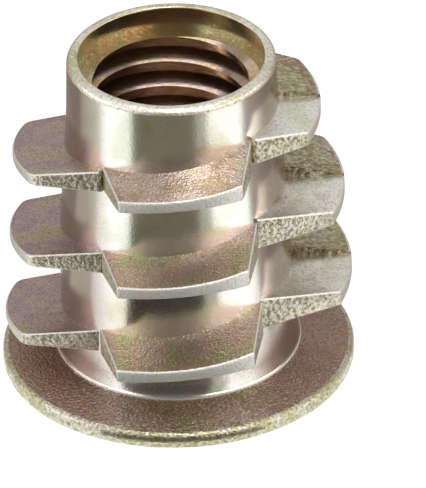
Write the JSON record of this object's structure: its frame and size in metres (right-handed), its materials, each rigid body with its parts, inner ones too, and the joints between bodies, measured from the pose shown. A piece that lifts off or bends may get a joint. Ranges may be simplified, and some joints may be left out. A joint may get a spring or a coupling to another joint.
{
  "type": "flanged threaded insert for wood",
  "caption": "Flanged screw-in insert of cast zinc: tapering body with interrupted coarse outer thread lugs, counterbored mouth, inner metric thread and hexagon drive.",
  "frame": {"origin": "centre of the flange's outer face, on the axis", "axes": "+Z along the axis from the flange to the mouth, +X and -X across the die's parting plane, -Y towards the front lugs"},
  "size_m": [0.0153, 0.0152, 0.0152],
  "materials": {
    "chromated_zinc": "satin cast zinc alloy, zinc plated with an iridescent yellow chromate"
  },
  "bodies": {
    "root": {"threaded_insert": "chromated_zinc"}
  },
  "joints": []
}
